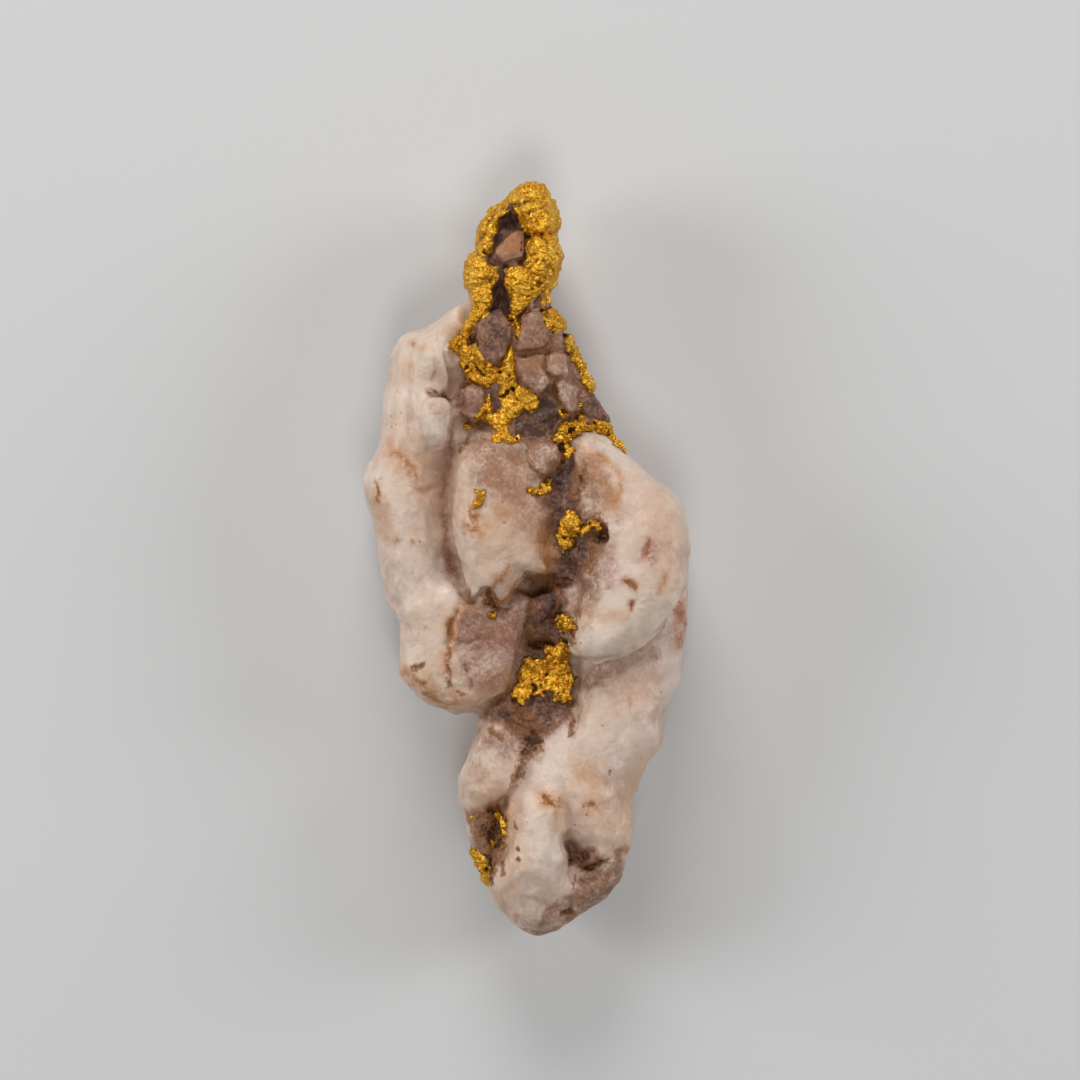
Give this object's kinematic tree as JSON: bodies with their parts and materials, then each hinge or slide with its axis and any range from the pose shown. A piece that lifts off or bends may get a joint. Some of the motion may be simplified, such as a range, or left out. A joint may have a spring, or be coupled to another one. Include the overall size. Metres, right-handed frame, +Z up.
{
  "type": "gold in quartz specimen",
  "caption": "Rough white vein quartz hand specimen lying on a flat broken back, with native gold capping its tip and filling a smoky seam.",
  "frame": {"origin": "on the surface that the specimen rests on, under the middle of its outline", "axes": "+Z up out of the face with the gold seam, +Y along the length towards the gold-capped tip, +X across it"},
  "size_m": [0.0262, 0.0599, 0.0148],
  "materials": {
    "quartz": "milky vein quartz, cream white to smoky brown, faintly waxy",
    "gold": "native gold, rough and bright, with brown iron stain in the pits"
  },
  "bodies": {
    "root": {"quartz_matrix": "quartz", "gold_crown": "gold", "gold_edge_strip": "gold", "gold_shoulder_patch": "gold", "gold_shoulder_rim": "gold", "gold_upper_chip": "gold", "gold_left_chip": "gold", "gold_centre_cluster": "gold", "gold_bead": "gold", "gold_lower_cluster": "gold", "gold_toe_seam": "gold", "gold_toe_edge": "gold"}
  },
  "joints": []
}
